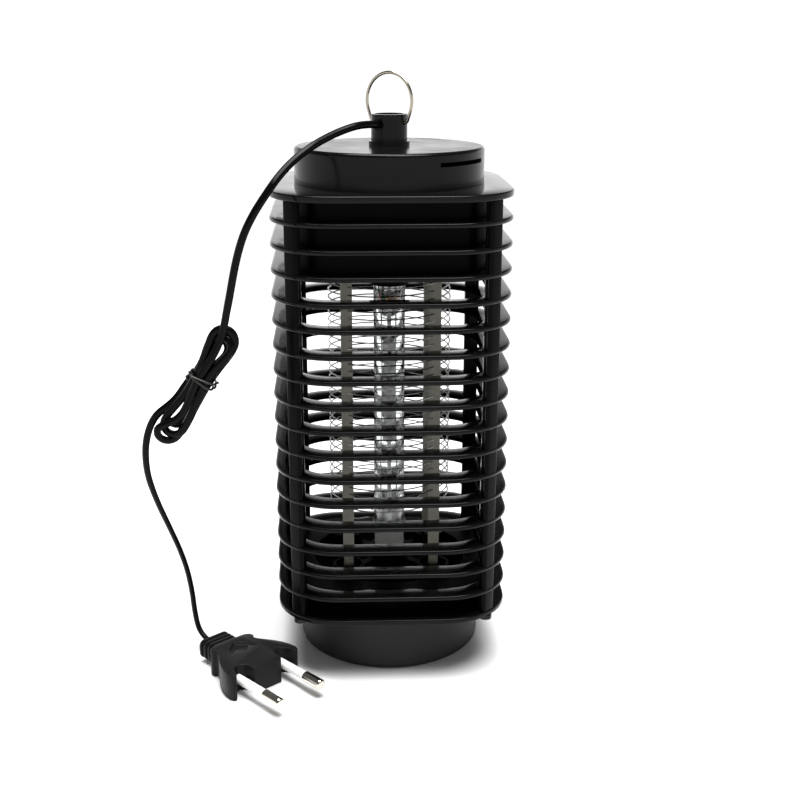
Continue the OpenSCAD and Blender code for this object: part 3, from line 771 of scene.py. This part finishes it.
def neck_parts(colour, mat, angles, low, high, r):
    """Small round components round the lamp's neck."""
    b = Build()
    for a in angles:
        x, y = NECK_R * math.cos(math.radians(a)), NECK_R * math.sin(math.radians(a))
        b.tube([(x, y, low), (x, y, low + 0.25), (x, y, high - 0.25), (x, y, high)],
               [0.6 * r, r, r, 0.6 * r], 12)
    piece(b.make("lamp_neck_parts_" + colour), mat, "component_tan")


piece(make_glass(), GLASS, "clear_glass", "lamp_tube")
piece(make_facets(), FROST, "clear_glass", "lamp_lens")
piece(make_core(), CORE, "lamp_metal", "lamp_core")
piece(make_disc_and_shade_sheet(), INNER, "component_tan", "lamp_parts")
neck_parts("red", RED, (205, 20), 133.4, 136.3, 1.05)
neck_parts("green", GREEN, (232, 60), 133.6, 136.3, 0.85)
neck_parts("tan", TAN, (262, 310, 110), 133.2, 136.3, 1.0)
neck_parts("brown", BROWN, (286, 335, 150), 133.4, 136.3, 0.9)
neck_parts("metal", SCREW, (215, 250, 285, 320, 80), 137.7, 139.9, 0.8)

# ---- hanger wire ----

SWING = Matrix.Translation(mm((0, 0, 198.1))) @ Matrix.Rotation(math.radians(-38), 4, "Z")
LEG_LEAN = math.radians(20)
R_LOOP, LEG, R_BEND, WIRE = 9.7, 3.4, 1.4, 0.58
PIVOT_LEN = 3


def make_hanger():
    """A round loop on two legs, whose ends turn inwards into the boss."""
    c, s = math.cos(LEG_LEAN), math.sin(LEG_LEAN)
    top = (R_LOOP * c, -R_LOOP * s)
    foot = (top[0] - LEG * s, top[1] - LEG * c)
    bend_x = foot[0] - R_BEND * c
    up = R_BEND - foot[1] - R_BEND * s
    right = [(bend_x - PIVOT_LEN, 0), (bend_x - PIVOT_LEN / 2, 0)]
    right += [(bend_x + R_BEND * math.cos(t), R_BEND + R_BEND * math.sin(t))
              for t in (math.radians(-90 + 14 * k) for k in range(6))]
    right += [(top[0] - 0.5 * LEG * s, top[1] - 0.5 * LEG * c + up), (top[0], top[1] + up)]
    arc = [(R_LOOP * math.cos(t), R_LOOP * math.sin(t) + up)
           for t in (math.radians(-12 + 204 * k / 34) for k in range(35))]
    left = [(-x, z) for x, z in reversed(right)]
    b = Build()
    b.tube([(x, 0, z) for x, z in right + arc + left], WIRE, 14)
    return b.make("hanger_loop", SWING)


piece(make_hanger(), BRASSY, "nickel_wire", "hanger_bail", body="hanger")

# ---- CAD nodes that stay ----

# The parts inside the cage get inner_plastic_painted_shade, whose darker, duller black is painted shade.
KEPT = {
    "tray": TRAY, "hopper_ring": INNER, "floor_spider": INNER, "electronics_drum": INNER,
    "top_cap": CAP, "hanger_boss": BLACK, "case_screws": DARK_SCREW, "circuit_board": GREEN,
    "board_screws": SCREW, "capacitors": RED, "diodes": INNER, "resistors": TAN,
    "mains_leads": BROWN, "grid_leads": RED, "lamp_holder": INNER, "lamp_end_ring": GRAY,
    "cord_bushing": CORD, "plug_sleeves": SLEEVE, "plug_pins": NICKEL,
}
for node, mat in KEPT.items():
    paint(NODES[node], mat)

# ---- floor, in metres ----

FLOOR_X, FLOOR_FRONT, FLOOR_BACK = 0.8, -0.7, 0.6
ground = new_object("floor", [(-FLOOR_X, FLOOR_FRONT, 0), (FLOOR_X, FLOOR_FRONT, 0),
                              (FLOOR_X, FLOOR_BACK, 0), (-FLOOR_X, FLOOR_BACK, 0)], [(0, 1, 2, 3)])
paint(ground, material("pale_floor", 0.86, 0.9, (0.5, 0.6), grain=300, bump=0.02, blotch=3))
